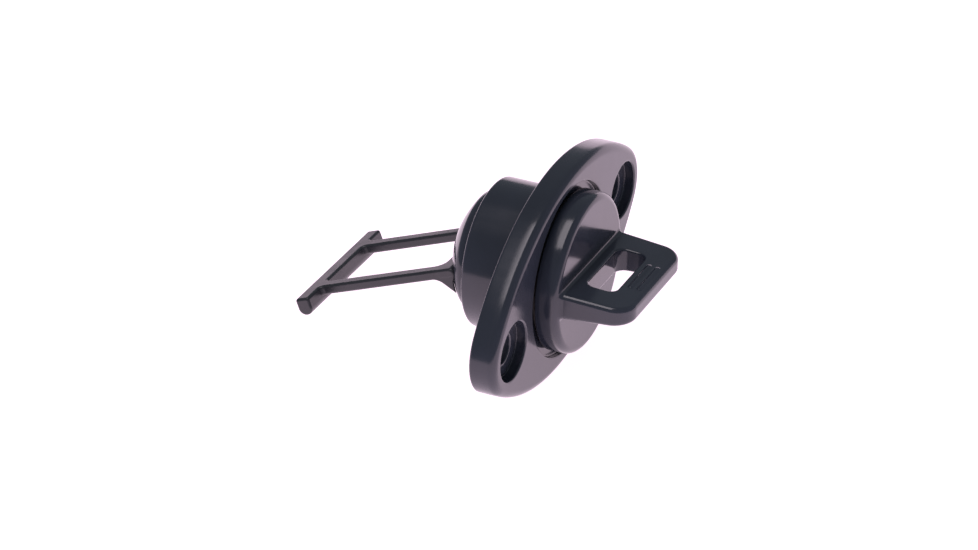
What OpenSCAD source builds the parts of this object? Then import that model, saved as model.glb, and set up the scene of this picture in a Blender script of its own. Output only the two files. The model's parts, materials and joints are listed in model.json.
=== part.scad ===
// Captive drain bung and socket for a small boat.
// The socket is an oval flange with a short spigot that passes through the hull.
// The bung screws into it from outside, squeezes a seal ring under its head and
// carries a two-legged retainer whose crossbar is too long to leave the spigot.
// The head sits in a shallow round recess in the face of the flange.
//
// Frame: +X is the bung axis, pointing out of the hull on the handle side.
// +Y is the long axis of the flange and +Z its short axis. The origin is on the
// bung axis in the mounting face of the flange.

/* [Flange] */
// Length over the rounded ends
flange_l = 59.9; // [58:0.1:70]
// Width across the middle
flange_w = 34.3; // [33:0.1:40]
// Radius of each rounded end
flange_end_r = 7.75; // [7:0.05:10]
// Thickness
flange_t = 4.6; // [4.2:0.1:7]
// Rounding of the front edge
flange_edge_r = 1.3; // [0.5:0.1:1.6]

/* [Screw holes] */
// Distance between the two hole centres
hole_pitch = 45; // [42:0.5:46]
// Diameter of the counterbore for the screw head
counterbore_d = 10; // [8:0.1:10.5]
// Depth of the counterbore
counterbore_depth = 1.8; // [1:0.1:2.6]
// Diameter of the screw hole
screw_hole_d = 5; // [3.5:0.1:5.5]

/* [Spigot] */
// Outside diameter of the spigot
spigot_d = 25.4; // [24.6:0.1:27]
// Length of the spigot behind the flange
spigot_l = 9.4; // [7.5:0.1:10]
// Rounding of the spigot's outer end
spigot_edge_r = 0.4; // [0.2:0.1:0.8]

/* [Bung] */
// Diameter of the screwed body
body_d = 20.4; // [20:0.1:21]
// Radial running clearance between the body and the socket
running_gap = 0.05; // [0.02:0.01:0.1]
// Diameter of the round head
head_d = 27.3; // [26.6:0.1:28.6]
// Thickness of the round head
head_t = 3.9; // [3.4:0.1:4.6]
// Depth of the back of the head below the face of the flange
head_sink = 0.3; // [0.1:0.1:0.5]
// Rounding of the front edge of the head
head_edge_r = 1; // [0.4:0.1:1.2]
// Radius of the domed nose
nose_r = 15.5; // [15.2:0.1:16]
// Distance that the nose stands out beyond the spigot
nose_out = 5.67; // [5.4:0.01:5.9]

/* [Recess and seal ring] */
// Diameter of the recess round the head
recess_d = 29.8; // [29:0.1:31]
// Depth of the recess in the face of the flange
recess_depth = 1; // [0.8:0.1:1.2]
// Depth of the seat for the seal ring in the floor of the recess
seat_depth = 1.6; // [1.4:0.1:1.8]
// Diameter of the seat
seat_d = 25.2; // [25.1:0.1:25.6]

/* [Handle] */
// Angle of the handle and the retainer about the bung axis
grip_angle = -11; // [-30:1:30]
// Reach of the handle beyond the head
grip_reach = 11.8; // [10:0.1:16]
// Width at the head
grip_root_w = 25.2; // [24:0.1:25.4]
// Width at the outer end
grip_tip_w = 24; // [21:0.1:24]
// Thickness at the head
grip_root_t = 4.5; // [3:0.1:4.8]
// Thickness at the outer end
grip_tip_t = 3; // [2:0.1:3]
// Corner radius of the outer end
grip_corner_r = 3.5; // [2:0.1:4.5]
// Distance from the head to the window
window_start = 2.1; // [1.5:0.1:3]
// Size of the window along the bung axis
window_l = 5.1; // [4.2:0.1:5.6]
// Size of the window across the handle
window_w = 14; // [10:0.5:15]
// Corner radius of the window
window_r = 1.6; // [0.8:0.1:2]

/* [Retainer] */
// Angle by which the legs droop from the bung axis
droop = 21.2; // [19:0.1:22]
// Distance between the leg centres
leg_pitch = 16.1; // [15.6:0.1:16.2]
// Width of each leg
leg_w = 2.3; // [1.8:0.1:2.3]
// Thickness of each leg
leg_t = 1.7; // [1.3:0.05:1.7]
// Length from the root knuckle to the outer face of the crossbar
leg_l = 27.7; // [26:0.1:34]
// Length of the crossbar
bar_l = 27.5; // [25:0.1:32]
// Width of the crossbar along the legs
bar_w = 2.6; // [2:0.1:3]
// Height of the crossbar
bar_h = 3.1; // [2.4:0.1:3.2]

/* [Hidden] */
$fn = 96;
eps = 0.01;

// Flange outline: two end arcs joined by two long flank arcs.
end_c = flange_l / 2 - flange_end_r;
flank_r = (end_c * end_c + flange_w * flange_w / 4 - flange_end_r * flange_end_r)
        / (flange_w - 2 * flange_end_r);
flank_c = flank_r - flange_w / 2;
join_y = end_c / (flank_r - flange_end_r);
join_back = 0.7;
join_lap = 0.05;

// Stations along the bung axis.
bore_r = body_d / 2 + running_gap;
recess_x = flange_t - recess_depth;
seat_x = recess_x - seat_depth;
head_x0 = flange_t - head_sink;
head_x1 = head_x0 + head_t;
nose_tip_x = -(spigot_l + nose_out);
nose_c = nose_tip_x + nose_r;
nose_base_x = nose_c - sqrt(nose_r * nose_r - body_d * body_d / 4);

// Seal ring: a round section held between the seat and the head.
seat_gap = 0.02;
seal_d = head_x0 - seat_x - 2 * seat_gap;
seal_c_r = body_d / 2 + seat_gap + seal_d / 2;

// Handle plan: straight sides that converge towards rounded corners.
grip_x1 = head_x1 + grip_reach;
grip_slope = atan((grip_root_w - grip_tip_w) / 2 / grip_reach);
corner_x = grip_x1 - grip_corner_r;
corner_y = grip_tip_w / 2 + grip_corner_r * tan(grip_slope)
         - grip_corner_r / cos(grip_slope);

// Retainer root: a knuckle on each leg that turns in a slot of the nose.
knuckle_x = -(spigot_l + 3.5);
knuckle_z = -0.66;
knuckle_r = leg_t / 2;
root_gap = 0.05;
root_fillet_r = 1.6;
root_pad_l = 2;
root_pad_w = 4.4;
leg_in = leg_pitch / 2 - leg_w / 2;
leg_out = leg_pitch / 2 + leg_w / 2;
pad_in = leg_in - root_pad_w;
web_l = 2.7;
web_h = 3.5;
web_back = 0.45;
bar_fillet_r = 0.8;

plastic = [0.09, 0.10, 0.12];
rubber = [0.05, 0.05, 0.05];

// Turns a shape drawn round the Z axis to stand round the bung axis.
module on_axis()
{
    rotate([0, 90, 0])
        children();
}

// Half section of a disc with its upper outside edge rounded.
module rounded_section(r, h, edge)
{
    square([r - edge, h]);
    square([r, h - edge]);
    translate([r - edge, h - edge])
        intersection()
        {
            circle(edge);
            square(edge);
        }
}

// Disc with a rounded front edge, standing round the bung axis.
module rounded_disc(r, h, edge)
{
    on_axis()
        rotate_extrude()
            rounded_section(r, h, edge);
}

// Middle of the flange between its two flank arcs. It stops just short of the
// joins, inside the end discs.
module flange_middle()
{
    half_l = end_c + flange_end_r * join_y - join_back;
    intersection()
    {
        translate([0, 0, flank_c])
            rounded_disc(flank_r, flange_t, flange_edge_r);
        translate([0, 0, -flank_c])
            rounded_disc(flank_r, flange_t, flange_edge_r);
        translate([-1, -half_l, -flange_w])
            cube([flange_t + 2, 2 * half_l, 2 * flange_w]);
    }
}

module flange_body()
{
    flange_middle();
    for (side = [-1, 1])
        translate([0, side * end_c, 0])
            rounded_disc(flange_end_r + join_lap, flange_t, flange_edge_r);
}

module spigot_body()
{
    mirror([1, 0, 0])
        rounded_disc(spigot_d / 2, spigot_l, spigot_edge_r);
    on_axis()
        cylinder(d = spigot_d, h = flange_t / 2);
}

// Bore for the screwed body, with the seat for the seal ring and the recess for
// the head at its mouth.
module socket_bore()
{
    translate([-spigot_l - 1, 0, 0])
        on_axis()
            cylinder(r = bore_r, h = spigot_l + flange_t + 2);
    translate([seat_x, 0, 0])
        on_axis()
            cylinder(d = seat_d, h = flange_t);
    translate([recess_x, 0, 0])
        on_axis()
            cylinder(d = recess_d, h = flange_t);
}

module screw_hole()
{
    translate([-1, 0, 0])
        on_axis()
            cylinder(d = screw_hole_d, h = flange_t + 2);
    translate([flange_t - counterbore_depth, 0, 0])
        on_axis()
            cylinder(d = counterbore_d, h = counterbore_depth + 1);
}

module socket()
{
    color(plastic)
        difference()
        {
            union()
            {
                flange_body();
                spigot_body();
            }
            socket_bore();
            for (side = [-1, 1])
                translate([0, side * hole_pitch / 2, 0])
                    screw_hole();
        }
}

module seal_ring()
{
    color(rubber)
        translate([head_x0 - seat_gap - seal_d / 2, 0, 0])
            on_axis()
                rotate_extrude()
                    translate([seal_c_r, 0])
                        circle(d = seal_d);
}

// Half section of the head, the screwed body and the domed nose.
module bung_section()
{
    translate([0, head_x0])
        rounded_section(head_d / 2, head_t, head_edge_r);
    translate([0, nose_base_x])
        square([body_d / 2, head_x0 - nose_base_x + head_t / 2]);
    intersection()
    {
        translate([0, nose_c])
            circle(nose_r);
        translate([0, nose_tip_x - 1])
            square([body_d / 2, nose_base_x - nose_tip_x + 1 + eps]);
    }
}

// Outline of the handle in plan, from inside the head to the outer end.
module grip_plan()
{
    side_x = corner_x + grip_corner_r * sin(grip_slope);
    side_y = corner_y + grip_corner_r * cos(grip_slope);
    polygon([
        [head_x1 - head_t / 2, -grip_root_w / 2],
        [head_x1, -grip_root_w / 2],
        [side_x, -side_y],
        [corner_x, -corner_y],
        [grip_x1, -corner_y],
        [grip_x1, corner_y],
        [corner_x, corner_y],
        [side_x, side_y],
        [head_x1, grip_root_w / 2],
        [head_x1 - head_t / 2, grip_root_w / 2]
    ]);
    for (side = [-1, 1])
        translate([corner_x, side * corner_y])
            circle(grip_corner_r);
}

// Side view of the handle, thinner towards its outer end.
module grip_side()
{
    polygon([
        [head_x1 - head_t, -grip_root_t / 2],
        [head_x1, -grip_root_t / 2],
        [grip_x1, -grip_tip_t / 2],
        [grip_x1 + 1, -grip_tip_t / 2],
        [grip_x1 + 1, grip_tip_t / 2],
        [grip_x1, grip_tip_t / 2],
        [head_x1, grip_root_t / 2],
        [head_x1 - head_t, grip_root_t / 2]
    ]);
}

module grip()
{
    intersection()
    {
        translate([0, 0, -grip_root_t])
            linear_extrude(2 * grip_root_t)
                grip_plan();
        translate([0, grip_root_w, 0])
            rotate([90, 0, 0])
                linear_extrude(2 * grip_root_w)
                    grip_side();
    }
}

// Rounded window through the handle.
module grip_window()
{
    x0 = head_x1 + window_start;
    in_l = window_l - 2 * window_r;
    in_w = window_w - 2 * window_r;
    translate([x0, 0, -grip_root_t])
        linear_extrude(2 * grip_root_t)
            union()
            {
                translate([0, -in_w / 2])
                    square([window_l, in_w]);
                translate([window_r, -window_w / 2])
                    square([in_l, window_w]);
                for (x = [window_r, window_l - window_r], side = [-1, 1])
                    translate([x, side * in_w / 2])
                        circle(window_r);
            }
}

// Slot in the nose that takes the root of one leg, drawn for the leg at +Y.
module root_slot()
{
    slot_h = knuckle_r + root_gap;
    reach = 5;
    translate([knuckle_x, leg_out + root_gap, knuckle_z])
        rotate([90, 0, 0])
            linear_extrude(leg_out - pad_in + 2 * root_gap)
                union()
                {
                    circle(slot_h);
                    polygon([
                        [0, slot_h],
                        [-reach, slot_h],
                        [-reach, -reach * tan(droop) - slot_h / cos(droop)],
                        [slot_h * sin(droop), -slot_h * cos(droop)]
                    ]);
                }
}

module bung()
{
    color(plastic)
        difference()
        {
            union()
            {
                on_axis()
                    rotate_extrude()
                        bung_section();
                rotate([grip_angle, 0, 0])
                    grip();
            }
            rotate([grip_angle, 0, 0])
            {
                grip_window();
                root_slot();
                mirror([0, 1, 0])
                    root_slot();
            }
        }
}

// Places a shape drawn in the frame of the straight legs on the root knuckle.
module at_root()
{
    translate([knuckle_x, 0, knuckle_z])
        rotate([0, -droop, 0])
            children();
}

// Plan of one leg at +Y, with a pad inside its root and fillets where it meets the crossbar.
module leg_plan()
{
    bar_in = -(leg_l - bar_w);
    translate([-leg_l + bar_w / 2, leg_in])
        square([leg_l - bar_w / 2, leg_w]);
    translate([-root_pad_l, pad_in])
        square([root_pad_l, leg_out - pad_in]);
    difference()
    {
        translate([-root_pad_l - root_fillet_r, leg_in - root_fillet_r])
            square([root_fillet_r + eps, root_fillet_r + eps]);
        translate([-root_pad_l - root_fillet_r, leg_in - root_fillet_r])
            circle(root_fillet_r);
    }
    for (edge = [[leg_in, -1], [leg_out, 1]])
        difference()
        {
            translate([bar_in - eps, edge[0] + (edge[1] < 0 ? -bar_fillet_r : -eps)])
                square([bar_fillet_r + eps, bar_fillet_r + eps]);
            translate([bar_in + bar_fillet_r, edge[0] + edge[1] * bar_fillet_r])
                circle(bar_fillet_r);
        }
}

module leg()
{
    translate([0, 0, -leg_t / 2])
        linear_extrude(leg_t)
            leg_plan();
    translate([0, leg_out, 0])
        rotate([90, 0, 0])
            cylinder(r = knuckle_r, h = leg_out - pad_in);
}

// Web under the root of one leg, flush with its outer side.
module leg_web()
{
    translate([0, leg_out, 0])
        rotate([90, 0, 0])
            linear_extrude(leg_w)
                polygon([
                    [-web_l, 0],
                    [-web_l, -knuckle_r],
                    [web_back, -knuckle_r - web_h],
                    [web_back, 0]
                ]);
}

// Crossbar with a flat top and a half-round underside.
module crossbar()
{
    translate([-leg_l + bar_w / 2, bar_l / 2, leg_t / 2])
        rotate([90, 0, 0])
            linear_extrude(bar_l)
                union()
                {
                    translate([-bar_w / 2, bar_w / 2 - bar_h])
                        square([bar_w, bar_h - bar_w / 2]);
                    translate([0, bar_w / 2 - bar_h])
                        circle(d = bar_w);
                }
}

module retainer()
{
    color(plastic)
        rotate([grip_angle, 0, 0])
        {
            at_root()
            {
                crossbar();
                leg();
                mirror([0, 1, 0])
                    leg();
            }
            difference()
            {
                at_root()
                {
                    leg_web();
                    mirror([0, 1, 0])
                        leg_web();
                }
                translate([nose_c, 0, 0])
                    sphere(nose_r + root_gap);
            }
        }
}

socket();
seal_ring();
bung();
retainer();
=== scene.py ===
"""Captive drain bung and socket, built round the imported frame.

Shapes are described by distance fields in millimetres: negative inside, positive outside.
Each field is meshed on its zero surface, so every moulded edge and inside corner has its radius.
The frame has +X out of the hull along the bung axis, +Y along the flange and +Z up.
"""

import json
import math

import bpy
import numpy as np
from mathutils import Matrix, Quaternion, Vector


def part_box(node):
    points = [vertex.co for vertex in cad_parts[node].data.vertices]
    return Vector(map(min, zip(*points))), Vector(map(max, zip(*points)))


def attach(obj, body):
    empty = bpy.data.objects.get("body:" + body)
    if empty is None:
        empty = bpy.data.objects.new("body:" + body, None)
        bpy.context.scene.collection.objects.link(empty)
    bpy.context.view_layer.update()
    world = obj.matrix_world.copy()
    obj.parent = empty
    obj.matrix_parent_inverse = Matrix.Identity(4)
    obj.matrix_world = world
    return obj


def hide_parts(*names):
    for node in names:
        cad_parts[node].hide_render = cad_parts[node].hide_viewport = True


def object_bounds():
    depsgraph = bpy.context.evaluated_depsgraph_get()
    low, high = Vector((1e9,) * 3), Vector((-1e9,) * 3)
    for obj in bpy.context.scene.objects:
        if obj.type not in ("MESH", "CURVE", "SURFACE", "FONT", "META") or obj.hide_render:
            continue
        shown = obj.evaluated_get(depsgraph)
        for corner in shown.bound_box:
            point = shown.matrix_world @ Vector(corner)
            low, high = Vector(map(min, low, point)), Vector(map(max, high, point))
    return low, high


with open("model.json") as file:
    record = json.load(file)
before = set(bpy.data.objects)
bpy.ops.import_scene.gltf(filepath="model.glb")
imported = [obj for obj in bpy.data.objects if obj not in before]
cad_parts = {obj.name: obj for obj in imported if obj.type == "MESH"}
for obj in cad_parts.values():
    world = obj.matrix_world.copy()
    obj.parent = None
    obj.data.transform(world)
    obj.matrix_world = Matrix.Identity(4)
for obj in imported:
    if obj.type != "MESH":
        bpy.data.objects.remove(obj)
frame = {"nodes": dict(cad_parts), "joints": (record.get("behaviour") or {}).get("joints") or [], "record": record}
cad_lo, cad_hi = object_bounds()

MM = 0.001


# ---------------------------------------------------------------- camera

# Fitted to the photograph: degrees, metres, and millimetres of lens
VIEW_AZIMUTH = 25.915
VIEW_ELEVATION = 38.441
VIEW_ROLL = -4.23
VIEW_DISTANCE = 0.5968
LENS = 133.7
LOOK_AT = Vector((-7.87, -4.78, -1.07)) * MM
CLIP_START = 0.01
CLIP_END = 20


def make_camera():
    a, e = math.radians(VIEW_AZIMUTH), math.radians(VIEW_ELEVATION)
    back = Vector((math.sin(a) * math.cos(e), -math.cos(a) * math.cos(e), math.sin(e)))
    camera = bpy.data.objects.new("camera", bpy.data.cameras.new("camera"))
    bpy.context.scene.collection.objects.link(camera)
    camera.location = back * VIEW_DISTANCE
    aim = (LOOK_AT - camera.location).to_track_quat("-Z", "Y")
    camera.rotation_mode = "QUATERNION"
    camera.rotation_quaternion = aim @ Quaternion((0, 0, 1), math.radians(VIEW_ROLL))
    camera.data.lens = LENS
    camera.data.clip_start = CLIP_START
    camera.data.clip_end = CLIP_END
    bpy.context.scene.camera = camera


make_camera()


# ---------------------------------------------------------------- sizes, in millimetres

def box_mm(node):
    low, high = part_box(node)
    return low / MM, high / MM


def mount_dims(name):
    return next(m for m in frame["record"]["mounts"] if m["name"] == name)["dims"]


def joint(name):
    return next(j for j in frame["joints"] if j["name"] == name)


socket_lo, socket_hi = box_mm("socket")
_, ring_hi = box_mm("seal_ring")
bung_lo, bung_hi = box_mm("bung")

# Socket
FLANGE_T = socket_hi.x
FLANGE_HALF_L = socket_hi.y
FLANGE_HALF_W = socket_hi.z
FLANGE_END_R = 7.75
FLANGE_EDGE_R = 1.3
FLANGE_BACK_EDGE_R = 0.5
RIM_CROWN_X = 2.2
RIM_LEAN = 0.14
SPIGOT_R = 12.7
SPIGOT_L = -socket_lo.x
SPIGOT_EDGE_R = 0.5
SPIGOT_FILLET_R = 0.4
HOLE_Y = mount_dims("screw_holes")["spacing_x_mm"] / 2
HOLE_R = mount_dims("screw_holes")["hole_r_mm"]
HOLE_EDGE_R = 0.2
COUNTERBORE_R = 5
COUNTERBORE_DEPTH = 1.8
COUNTERBORE_EDGE_R = 0.3
COUNTERBORE_FLOOR_R = 0.15
RECESS_R = 14.9
RECESS_X = 3.6
RECESS_EDGE_R = 0.2
SEAT_R = 12.6
SEAT_X = 2
SEAT_EDGE_R = 0.15
BORE_R = 10.25
BORE_EDGE_R = 0.35

# Bung
BODY_R = 10.2
BODY_EDGE_R = 0.1
SEAL_GAP = 0.02
HEAD_R = bung_hi.y
HEAD_T = 3.9
HEAD_X0 = ring_hi.x + SEAL_GAP
HEAD_X1 = HEAD_X0 + HEAD_T
HEAD_EDGE_R = 1
HEAD_BACK_EDGE_R = 0.15
HEAD_CROWN_X = HEAD_X0 + 1.5
HEAD_LEAN = 0.2
HEAD_FILLET_R = 0.3
NOSE_R = 15.5
NOSE_C = bung_lo.x + NOSE_R
NOSE_EDGE_R = 0.5
GRIP_X0 = HEAD_X0 + 1
GRIP_X1 = bung_hi.x
GRIP_ROOT_HALF_W = 12.6
GRIP_TIP_HALF_W = 12
GRIP_ROOT_HALF_T = 2.25
GRIP_TIP_HALF_T = 1.5
GRIP_CORNER_R = 3.5
GRIP_EDGE_R = 0.8
GRIP_BACK_EDGE_R = 0.3
GRIP_FILLET_R = 0.6
WINDOW_X0 = HEAD_X1 + 2.1
WINDOW_X1 = WINDOW_X0 + 5.1
WINDOW_HALF_W = 7
WINDOW_R = 1.6
WINDOW_EDGE_R = 0.35
RIB_PITCH = 1.5
RIB_HALF_L = 4.5
RIB_HALF_W = 0.6
RIB_H = 0.22

# Screw thread on the bung, from X0 to X1 and out to R, fading at both ends. The mouth of its groove,
# and the groove's two flanks together, are shares of the lead.
THREAD_LEAD = 3
THREAD_X0 = -SPIGOT_L - 0.4
THREAD_X1 = HEAD_X0 - 0.8
THREAD_R = BODY_R + 1
THREAD_EDGE_R = 0.1
THREAD_DEPTH = 0.75
BORE_THREAD_DEPTH = 0.45
GROOVE_MOUTH = 0.72
GROOVE_FLANKS = 0.34

# Retainer, with its root on the record's hinge
flex = joint("retainer_flex")
GRIP_TURN = math.atan2(flex["axis"][2], flex["axis"][1])
hinge = Vector(flex["pos_m"]) / MM
HINGE_X = hinge.x
HINGE_Z = hinge.z * math.cos(GRIP_TURN) - hinge.y * math.sin(GRIP_TURN)
DROOP = math.radians(flex["range_deg"][1])
LEG_Y = 8.05
LEG_HALF_W = 1.15
LEG_HALF_T = 0.85
LEG_L = 27.7
LEG_EDGE_R = 0.45
PAD_L = 2
PAD_W = 4.4
PAD_EDGE_R = 0.4
PAD_FILLET_R = 1.6
WEB_L = 2.7
WEB_H = 3.5
WEB_BACK = 0.45
WEB_FILLET_R = 0.7
BAR_HALF_L = 13.75
BAR_W = 2.6
BAR_H = 3.1
BAR_FILLET_R = 0.8
BAR_EDGE_R = 0.45
ROOT_GAP = 0.05
SLOT_EDGE_R = 0.12


# ---------------------------------------------------------------- distance fields

def both(a, b, edge):
    """What is inside a and b, with the edge where they cross rounded."""
    past_both = np.hypot(np.maximum(a + edge, 0), np.maximum(b + edge, 0))
    return np.minimum(np.maximum(a, b), -edge) + past_both


def either(a, b, fillet):
    """What is inside a or b, with a fillet in the corner between them."""
    near_both = np.hypot(np.maximum(fillet - a, 0), np.maximum(fillet - b, 0))
    return np.maximum(np.minimum(a, b), fillet) - near_both


def less(a, b, edge):
    """What is inside a and outside b, with the new edge rounded."""
    return both(a, -b, edge)


def between(v, low, high):
    return np.abs(v - (low + high) / 2) - (high - low) / 2


def turned(u, v, angle):
    """The pair of coordinates in axes that are turned by angle from u towards v."""
    c, s = math.cos(angle), math.sin(angle)
    return u * c + v * s, v * c - u * s


def rounded_rectangle(u, v, half_u, half_v, r):
    """Distance in the plane to a rectangle with rounded corners, about the origin."""
    a, b = np.abs(u) - half_u + r, np.abs(v) - half_v + r
    return np.hypot(np.maximum(a, 0), np.maximum(b, 0)) + np.minimum(np.maximum(a, b), 0) - r


def crowned(plan, x, x0, x1, lean, edge):
    """A wall on a plan that leans in, up to the given slope, from x0 to its rounded front edge at x1."""
    past = np.maximum(x - x0, 0)
    wall = plan + lean * past ** 2 / (2 * (x1 - x0))
    return both(wall, x - x1, edge)


def thread(x, y, z, turns_past):
    """Depth of the screw groove, from 0 on its crest to 1 in its root."""
    phase = (x - THREAD_LEAD * np.arctan2(z, y) / (2 * math.pi)) / THREAD_LEAD + turns_past
    wave = np.abs(phase - np.floor(phase) - 0.5) * 2
    return np.clip((GROOVE_MOUTH - wave) / GROOVE_FLANKS, 0, 1)


def flange_outline(y, z):
    """Distance in the plane to the four-arc oval."""
    y, z = np.abs(y), np.abs(z)
    end_c = FLANGE_HALF_L - FLANGE_END_R
    flank_r = (end_c ** 2 + FLANGE_HALF_W ** 2 - FLANGE_END_R ** 2) / (2 * (FLANGE_HALF_W - FLANGE_END_R))
    flank_c = flank_r - FLANGE_HALF_W
    on_flank = y * flank_c < (z + flank_c) * end_c
    return np.where(on_flank, np.hypot(y, z + flank_c) - flank_r, np.hypot(y - end_c, z) - FLANGE_END_R)


def socket_field(x, y, z):
    r = np.hypot(y, z)
    rim = crowned(flange_outline(y, z), x, RIM_CROWN_X, FLANGE_T, RIM_LEAN, FLANGE_EDGE_R)
    flange = both(rim, -x, FLANGE_BACK_EDGE_R)
    spigot = both(r - SPIGOT_R, between(x, -SPIGOT_L, FLANGE_T / 2), SPIGOT_EDGE_R)
    d = either(flange, spigot, SPIGOT_FILLET_R)
    hole_r = np.hypot(np.abs(y) - HOLE_Y, z)
    d = less(d, hole_r - HOLE_R, HOLE_EDGE_R)
    counterbore = both(hole_r - COUNTERBORE_R, FLANGE_T - COUNTERBORE_DEPTH - x, COUNTERBORE_FLOOR_R)
    d = less(d, counterbore, COUNTERBORE_EDGE_R)
    d = less(d, both(r - RECESS_R, RECESS_X - x, RECESS_EDGE_R), RECESS_EDGE_R)
    d = less(d, both(r - SEAT_R, SEAT_X - x, RECESS_EDGE_R), SEAT_EDGE_R)
    bore = r - BORE_R - BORE_THREAD_DEPTH * thread(x, y, z, 0.5)
    return less(d, bore, BORE_EDGE_R)


def grip_field(x, y, z):
    """The handle, in the axes of its own plate."""
    reach = GRIP_X1 - HEAD_X1
    slope = math.atan2(GRIP_ROOT_HALF_W - GRIP_TIP_HALF_W, reach)
    taper = math.atan2(GRIP_ROOT_HALF_T - GRIP_TIP_HALF_T, reach)
    side = (np.abs(y) - GRIP_TIP_HALF_W) * math.cos(slope) - (GRIP_X1 - x) * math.sin(slope)
    face = (np.abs(z) - GRIP_TIP_HALF_T) * math.cos(taper) - (GRIP_X1 - x) * math.sin(taper)
    plan = both(both(side, x - GRIP_X1, GRIP_CORNER_R), GRIP_X0 - x, GRIP_BACK_EDGE_R)
    window_c, window_half_l = (WINDOW_X0 + WINDOW_X1) / 2, (WINDOW_X1 - WINDOW_X0) / 2
    window = rounded_rectangle(x - window_c, y, window_half_l, WINDOW_HALF_W, WINDOW_R)
    tip = x - (WINDOW_X1 + GRIP_X1) / 2
    rib = rounded_rectangle(np.abs(tip) - RIB_PITCH / 2, y, RIB_HALF_W, RIB_HALF_L, RIB_HALF_W)
    rise = np.clip(-rib / RIB_HALF_W, 0, 1)
    ribbed = face - RIB_H * rise ** 2 * (3 - 2 * rise)
    return less(both(plan, ribbed, GRIP_EDGE_R), window, WINDOW_EDGE_R)


def root_frame(x, y, z):
    """Coordinates along the straight legs, across them and up from them, about the hinge."""
    y, z = turned(y, z, GRIP_TURN)
    u, w = turned(x - HINGE_X, z - HINGE_Z, DROOP)
    return u, y, w


def root_slot(x, y, z):
    """The slot in the nose where one leg's root turns, for both legs."""
    y, z = turned(y, z, GRIP_TURN)
    u, w = x - HINGE_X, z - HINGE_Z
    h = LEG_HALF_T + ROOT_GAP
    _, low = turned(u, w, DROOP)
    wedge = np.maximum(np.maximum(w - h, -low - h), u)
    barrel = np.hypot(u, w) - h
    inner, outer = LEG_Y - LEG_HALF_W - PAD_W - ROOT_GAP, LEG_Y + LEG_HALF_W + ROOT_GAP
    across = between(np.abs(y), inner, outer)
    return np.maximum(np.minimum(wedge, barrel), across)


def bung_field(x, y, z):
    r = np.hypot(y, z)
    rim = crowned(r - HEAD_R, x, HEAD_CROWN_X, HEAD_X1, HEAD_LEAN, HEAD_EDGE_R)
    head = both(rim, HEAD_X0 - x, HEAD_BACK_EDGE_R)
    threaded = both(between(x, THREAD_X0, THREAD_X1), r - THREAD_R, THREAD_EDGE_R)
    groove = THREAD_DEPTH * thread(x, y, z, 0) * np.clip(-threaded, 0, 1)
    body = both(r - BODY_R + groove, x - HEAD_X0 - HEAD_T / 2, BODY_EDGE_R)
    body = both(body, np.hypot(x - NOSE_C, r) - NOSE_R, NOSE_EDGE_R)
    grip = grip_field(x, *turned(y, z, GRIP_TURN))
    d = either(either(head, body, HEAD_FILLET_R), grip, GRIP_FILLET_R)
    return less(d, root_slot(x, y, z), SLOT_EDGE_R)


def retainer_field(x, y, z):
    u, v, w = root_frame(x, y, z)
    v = np.abs(v)
    leg = np.abs(v - LEG_Y) - LEG_HALF_W
    strip = np.where(u > 0, np.hypot(u, w), np.abs(w)) - LEG_HALF_T
    strip = np.maximum(strip, -u - LEG_L + BAR_W / 2)
    slant = math.atan2(WEB_H, WEB_L + WEB_BACK)
    under = (-w - LEG_HALF_T) * math.cos(slant) - (u + WEB_L) * math.sin(slant)
    web = np.maximum(np.maximum(under, u - WEB_BACK), w)
    web = np.maximum(web, NOSE_R + ROOT_GAP - np.hypot(x - NOSE_C, np.hypot(y, z)))
    d = both(either(strip, web, WEB_FILLET_R), leg, LEG_EDGE_R)
    inner = both(between(v, LEG_Y - LEG_HALF_W - PAD_W, LEG_Y), -u - PAD_L, PAD_EDGE_R)
    pad = either(leg, inner, PAD_FILLET_R)
    pad = np.maximum(pad, -u - PAD_L - 2 * PAD_FILLET_R)
    bar_u = -LEG_L + BAR_W / 2
    plan = either(leg, np.abs(u - bar_u) - BAR_W / 2, BAR_FILLET_R)
    near_leg = np.maximum(leg - BAR_FILLET_R, u - bar_u - BAR_W)
    plan = np.maximum(plan, near_leg)
    for outline in (pad, plan):
        d = np.minimum(d, both(strip, outline, LEG_EDGE_R))
    low = LEG_HALF_T - BAR_H + BAR_W / 2
    section = both(np.abs(u - bar_u) - BAR_W / 2, w - LEG_HALF_T, BAR_EDGE_R)
    section = np.where(w > low, section, np.hypot(u - bar_u, w - low) - BAR_W / 2)
    return np.minimum(d, both(section, v - BAR_HALF_L, BAR_EDGE_R))


# ---------------------------------------------------------------- meshing

BLOCK = 8               # grid points along each side of a block
NEAR_BLOCKS = 1.6       # a block is worked out when its centre is within this many block sides
FAR = 1e3               # the value that stands for the field in every other block
CHUNK = 400_000         # points worked out at a time, to hold memory down
MARGIN_CELLS = 2.5      # cells left free round the box of the piece
SLOPE_STEP = 0.01       # mm
NEWTON_PASSES = 5
LEAST_SLOPE = 0.2       # keeps the moves short where the squared slope is small


def sample(field, points):
    """The field at each point, a chunk at a time."""
    parts = [field(*points[i:i + CHUNK].T) for i in range(0, len(points), CHUNK)]
    return np.concatenate(parts)


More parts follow.
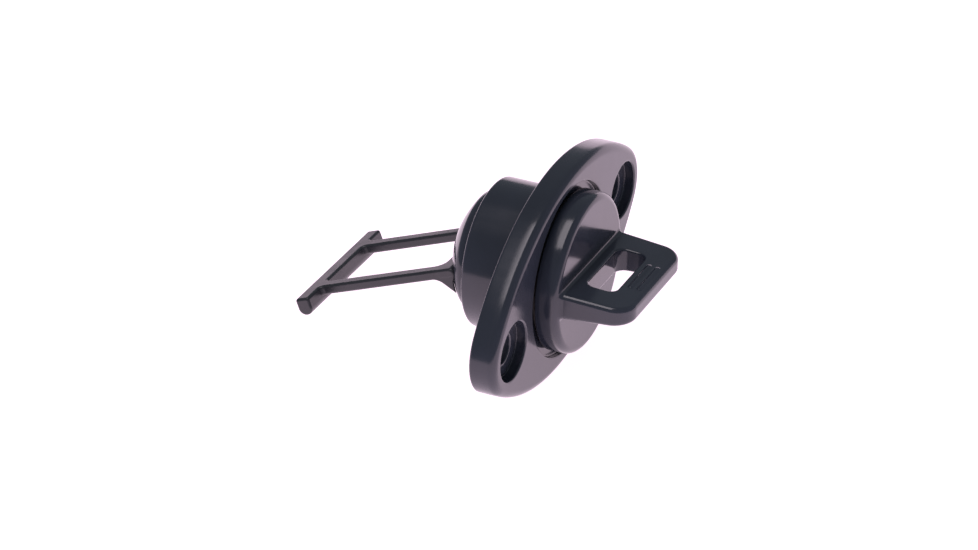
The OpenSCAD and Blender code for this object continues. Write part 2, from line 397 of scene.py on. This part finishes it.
def grid_values(field, low, step, blocks):
    """The field on a grid. Only blocks that the surface may cross are worked out."""
    corners = np.stack(np.meshgrid(*(np.arange(n) for n in blocks), indexing="ij"), -1).reshape(-1, 3)
    centre = low + (corners * BLOCK + (BLOCK - 1) / 2) * step
    at_centre = sample(field, centre)
    values = np.where(at_centre < 0, -FAR, FAR)[:, None].repeat(BLOCK ** 3, 1)
    near = np.abs(at_centre) < BLOCK * step * NEAR_BLOCKS
    inside = np.stack(np.meshgrid(*(np.arange(BLOCK),) * 3, indexing="ij"), -1).reshape(-1, 3)
    points = low + (corners[near][:, None] * BLOCK + inside[None]) * step
    values[near] = sample(field, points.reshape(-1, 3)).reshape(-1, BLOCK ** 3)
    values = values.reshape(*blocks, BLOCK, BLOCK, BLOCK).transpose(0, 3, 1, 4, 2, 5)
    return values.reshape([n * BLOCK for n in blocks])


def gradient(field, points):
    """The slope of the field along each axis, by central differences."""
    steps = np.eye(3) * SLOPE_STEP
    return np.stack([(sample(field, points + s) - sample(field, points - s)) / (2 * SLOPE_STEP)
                     for s in steps], 1)


def surface_net(values):
    """One point in each cell that the surface crosses, and one quad across each crossed grid edge."""
    inside = values < 0
    shape = np.array(values.shape) - 1
    corner = [tuple(slice(o, o + n) for o, n in zip(offset, shape)) for offset in np.ndindex(2, 2, 2)]
    filled = sum(inside[c].astype(np.int8) for c in corner)
    crossed = (filled > 0) & (filled < 8)
    number = np.full(shape, -1)
    number[crossed] = np.arange(crossed.sum())
    cell = np.argwhere(crossed)
    total, count = np.zeros((len(cell), 3)), np.zeros(len(cell))
    quads = []
    for axis in range(3):
        along = np.eye(3, dtype=int)[axis]
        side_a, side_b = np.eye(3, dtype=int)[(axis + 1) % 3], np.eye(3, dtype=int)[(axis + 2) % 3]
        for offset in ((0, 0), (1, 0), (0, 1), (1, 1)):
            start = cell + side_a * offset[0] + side_b * offset[1]
            v0, v1 = values[tuple(start.T)], values[tuple((start + along).T)]
            cut = (v0 < 0) != (v1 < 0)
            share = v0[cut] / (v0[cut] - v1[cut])
            total[cut] += start[cut] + along * share[:, None]
            count[cut] += 1
        first = inside[tuple(slice(0, n - a) for a, n in zip(along, values.shape))]
        second = inside[tuple(slice(a, n) for a, n in zip(along, values.shape))]
        edge = np.argwhere(first != second)
        ring = [edge - side_a * i - side_b * j for i, j in ((0, 0), (1, 0), (1, 1), (0, 1))]
        quad = np.stack([number[tuple(c.T)] for c in ring], 1)
        leaving = first[tuple(edge.T)]
        quads.append(np.where(leaving[:, None], quad, quad[:, ::-1]))
    return total / count[:, None], np.concatenate(quads)


def meshed(name, field, low, high, step):
    """An object on the zero surface of a field, with its points on that surface and its normals from it."""
    low = np.array(low) - MARGIN_CELLS * step
    blocks = np.ceil((np.array(high) + MARGIN_CELLS * step - low) / step / BLOCK).astype(int)
    points, quads = surface_net(grid_values(field, low, step, blocks))
    points = low + points * step
    for _ in range(NEWTON_PASSES):
        g = gradient(field, points)
        move = g * (sample(field, points) / np.maximum((g ** 2).sum(1), LEAST_SLOPE))[:, None]
        points -= np.clip(move, -step / 2, step / 2)
    normals = gradient(field, points)
    normals /= np.linalg.norm(normals, axis=1)[:, None]
    mesh = bpy.data.meshes.new(name)
    mesh.from_pydata((points * MM).tolist(), [], quads.tolist())
    mesh.shade_smooth()
    mesh.normals_split_custom_set_from_vertices(normals.tolist())
    piece = bpy.data.objects.new(name, mesh)
    bpy.context.scene.collection.objects.link(piece)
    print(name, len(points), "points", len(quads), "quads")
    return piece


# ---------------------------------------------------------------- materials

# Noise patterns, each with its cycles per metre and its octaves of detail
SINK_NOISE = (110, 1)
FLOW_NOISE = (500, 3)
FLOW_STRETCH = (0.12, 1, 1)
FLOW_DEPTH = 1.5        # times the depth of the grain
GRAIN_NOISE = (5200, 2)
RUBBED_NOISE = (75, 5)
NOISE_RANGE = (0.3, 0.7)
TINT_RANGE = (0.86, 1.14)
PLASTIC_IOR = 1.53


def noise(nodes, links, place, scale, detail, stretch=(1, 1, 1)):
    """A noise pattern fixed to the piece. Scale is in cycles per metre."""
    mapping = nodes.new("ShaderNodeMapping")
    mapping.inputs["Scale"].default_value = stretch
    links.new(place.outputs["Object"], mapping.inputs["Vector"])
    texture = nodes.new("ShaderNodeTexNoise")
    texture.inputs["Scale"].default_value = scale
    texture.inputs["Detail"].default_value = detail
    links.new(mapping.outputs["Vector"], texture.inputs["Vector"])
    return texture.outputs["Fac"]


def spread(nodes, links, value, low, high):
    """The pattern stretched to run from low to high over its usual range."""
    node = nodes.new("ShaderNodeMapRange")
    node.inputs["From Min"].default_value, node.inputs["From Max"].default_value = NOISE_RANGE
    node.inputs["To Min"].default_value = low
    node.inputs["To Max"].default_value = high
    links.new(value, node.inputs["Value"])
    return node.outputs["Result"]


def bumped(nodes, links, height, depth_mm, under):
    """A normal that follows the height pattern, on top of the normal under it if there is one."""
    bump = nodes.new("ShaderNodeBump")
    bump.inputs["Distance"].default_value = depth_mm * MM
    links.new(height, bump.inputs["Height"])
    if under is not None:
        links.new(under, bump.inputs["Normal"])
    return bump.outputs["Normal"]


def moulding(name, base, gloss, dull, sink_mm, grain_mm, handled):
    """A moulded surface with faint sink marks, flow lines, fine grain and rubbed patches.

    Its roughness runs from gloss to dull. Handled is the share of that which rubbing decides.
    """
    material = bpy.data.materials.new(name)
    material.use_nodes = True
    nodes, links = material.node_tree.nodes, material.node_tree.links
    shader = nodes["Principled BSDF"]
    shader.inputs["IOR"].default_value = PLASTIC_IOR
    place = nodes.new("ShaderNodeTexCoord")

    sink = noise(nodes, links, place, *SINK_NOISE)
    flow = noise(nodes, links, place, *FLOW_NOISE, FLOW_STRETCH)
    grain = noise(nodes, links, place, *GRAIN_NOISE)
    rubbed = noise(nodes, links, place, *RUBBED_NOISE)

    normal = bumped(nodes, links, sink, sink_mm, None)
    normal = bumped(nodes, links, flow, grain_mm * FLOW_DEPTH, normal)
    normal = bumped(nodes, links, grain, grain_mm, normal)
    links.new(normal, shader.inputs["Normal"])

    blend = nodes.new("ShaderNodeMath")
    blend.operation = "MULTIPLY_ADD"
    blend.inputs[1].default_value = handled
    links.new(rubbed, blend.inputs[0])
    share = nodes.new("ShaderNodeMath")
    share.operation = "MULTIPLY"
    share.inputs[1].default_value = 1 - handled
    links.new(flow, share.inputs[0])
    links.new(share.outputs["Value"], blend.inputs[2])
    links.new(spread(nodes, links, blend.outputs["Value"], gloss, dull), shader.inputs["Roughness"])

    tint = nodes.new("ShaderNodeMix")
    tint.data_type = "RGBA"
    for end, factor in zip("AB", TINT_RANGE):
        tint.inputs[end].default_value = (*(c * factor for c in base), 1)
    links.new(spread(nodes, links, rubbed, 0, 1), tint.inputs["Factor"])
    links.new(tint.outputs["Result"], shader.inputs["Base Color"])
    return material


GLOSS_BLACK = (0.031, 0.037, 0.052)
SOFT_BLACK = (0.030, 0.032, 0.038)
RUBBER_BLACK = (0.012, 0.012, 0.013)

socket_plastic = moulding("socket_plastic", GLOSS_BLACK, gloss=0.11, dull=0.22,
                          sink_mm=0.020, grain_mm=0.0003, handled=0.6)
bung_plastic = moulding("bung_plastic", GLOSS_BLACK, gloss=0.10, dull=0.19,
                        sink_mm=0.020, grain_mm=0.0003, handled=0.8)
retainer_plastic = moulding("retainer_plastic", SOFT_BLACK, gloss=0.26, dull=0.38,
                            sink_mm=0.020, grain_mm=0.0002, handled=0.5)
rubber = moulding("seal_rubber", RUBBER_BLACK, gloss=0.34, dull=0.55,
                  sink_mm=0.005, grain_mm=0.0020, handled=0.4)


def add_piece(name, node, body, slot, field, low, high, step, material):
    piece = meshed(name, field, low, high, step)
    piece.data.materials.append(material)
    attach(piece, body)
    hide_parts(node)


# Side of a grid cell, in millimetres. The retainer is thinner, so its cells are half as large.
STEP = 0.22
add_piece("socket_moulding", "socket", "socket", "socket_plastic", socket_field,
          *box_mm("socket"), STEP, socket_plastic)
add_piece("bung_moulding", "bung", "bung", "bung_plastic", bung_field,
          *box_mm("bung"), STEP, bung_plastic)
add_piece("retainer_moulding", "retainer", "retainer", "retainer_plastic", retainer_field,
          *box_mm("retainer"), STEP / 2, retainer_plastic)
ring = frame["nodes"]["seal_ring"]
ring.data.materials.clear()
ring.data.materials.append(rubber)


# ---------------------------------------------------------------- stage and light

FLOOR_TINT = (0.90, 0.76, 0.86)
FLOOR_HALF = 3.0        # metres
FLOOR_ROUGHNESS = 0.9
FLOOR_GLOW = (1.0, 0.80, 0.92)
FLOOR_GLOW_STRENGTH = 1.15
CEILING_DARK = (0.20, 0.22, 0.25)
CEILING_STRENGTH = 1.0
SOFTBOX_FROM = (-0.14, -0.05, 0.99)
SOFTBOX_DISTANCE = 0.8  # metres, as its size is
SOFTBOX_SIZE = (0.24, 0.63)
SOFTBOX_POWER = 1.7     # watts
SOFTBOX_TINT = (1.0, 0.90, 0.97)


def stage_material():
    """A pale table that glows a little, as a light table does, so that it stays even under the object."""
    material = bpy.data.materials.new("pale_floor")
    material.use_nodes = True
    shader = material.node_tree.nodes["Principled BSDF"]
    shader.inputs["Base Color"].default_value = (*FLOOR_TINT, 1)
    shader.inputs["Roughness"].default_value = FLOOR_ROUGHNESS
    shader.inputs["Specular IOR Level"].default_value = 0
    shader.inputs["Emission Color"].default_value = (*FLOOR_GLOW, 1)
    shader.inputs["Emission Strength"].default_value = FLOOR_GLOW_STRENGTH
    return material


def add_floor():
    """A flat floor that touches the lowest point of the CAD model."""
    mesh = bpy.data.meshes.new("floor")
    signs = ((-1, -1), (1, -1), (1, 1), (-1, 1))
    mesh.from_pydata([(i * FLOOR_HALF, j * FLOOR_HALF, cad_lo.z) for i, j in signs], [], [(0, 1, 2, 3)])
    floor = bpy.data.objects.new("floor", mesh)
    bpy.context.scene.collection.objects.link(floor)
    mesh.materials.append(stage_material())


def add_light(name, direction, distance, size, power, tint):
    """A soft rectangular light that faces the object from the given direction, its first side along X."""
    data = bpy.data.lights.new(name, "AREA")
    data.shape = "RECTANGLE"
    data.size, data.size_y = size
    data.energy = power
    data.color = tint
    lamp = bpy.data.objects.new(name, data)
    bpy.context.scene.collection.objects.link(lamp)
    back = Vector(direction).normalized()
    lamp.location = back * distance
    up = Vector((0, 1, 0))
    side = up.cross(back).normalized()
    lamp.rotation_mode = "QUATERNION"
    lamp.rotation_quaternion = Matrix((side, back.cross(side), back)).transposed().to_quaternion()


def add_world():
    world = bpy.data.worlds.new("room")
    world.use_nodes = True
    background = world.node_tree.nodes["Background"]
    background.inputs["Color"].default_value = (*CEILING_DARK, 1)
    background.inputs["Strength"].default_value = CEILING_STRENGTH
    bpy.context.scene.world = world


add_floor()
add_light("softbox", SOFTBOX_FROM, SOFTBOX_DISTANCE, SOFTBOX_SIZE, SOFTBOX_POWER, SOFTBOX_TINT)
add_world()
bpy.context.scene.view_settings.view_transform = "Standard"
